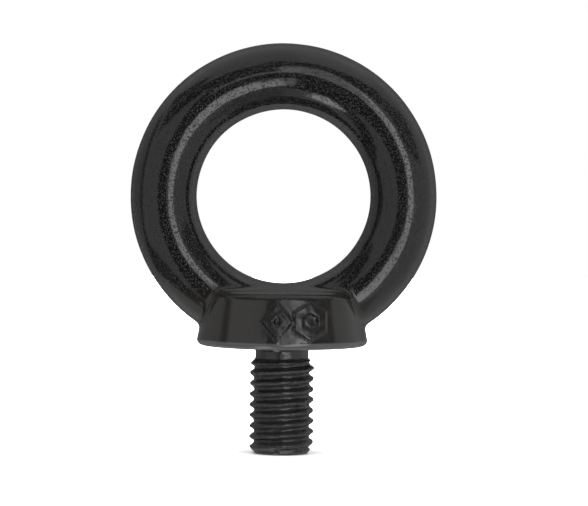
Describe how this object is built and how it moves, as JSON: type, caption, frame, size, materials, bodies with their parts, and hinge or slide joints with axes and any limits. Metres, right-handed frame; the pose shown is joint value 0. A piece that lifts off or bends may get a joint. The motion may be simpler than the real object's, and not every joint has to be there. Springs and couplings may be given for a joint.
{
  "type": "lifting eye bolt",
  "caption": "Drop-forged lifting eye bolt: round ring on a tapered collar with a flat seat and a short right-hand threaded shank.",
  "frame": {"origin": "centre of the collar's flat seating face", "axes": "+Z along the shank's axis towards the ring, +Y along the eye's axis, the raised mark on the -Y side"},
  "size_m": [0.036, 0.0204, 0.0484],
  "materials": {
    "black_paint": "gloss"
  },
  "bodies": {
    "root": {"eye_bolt": "black_paint"}
  },
  "joints": []
}
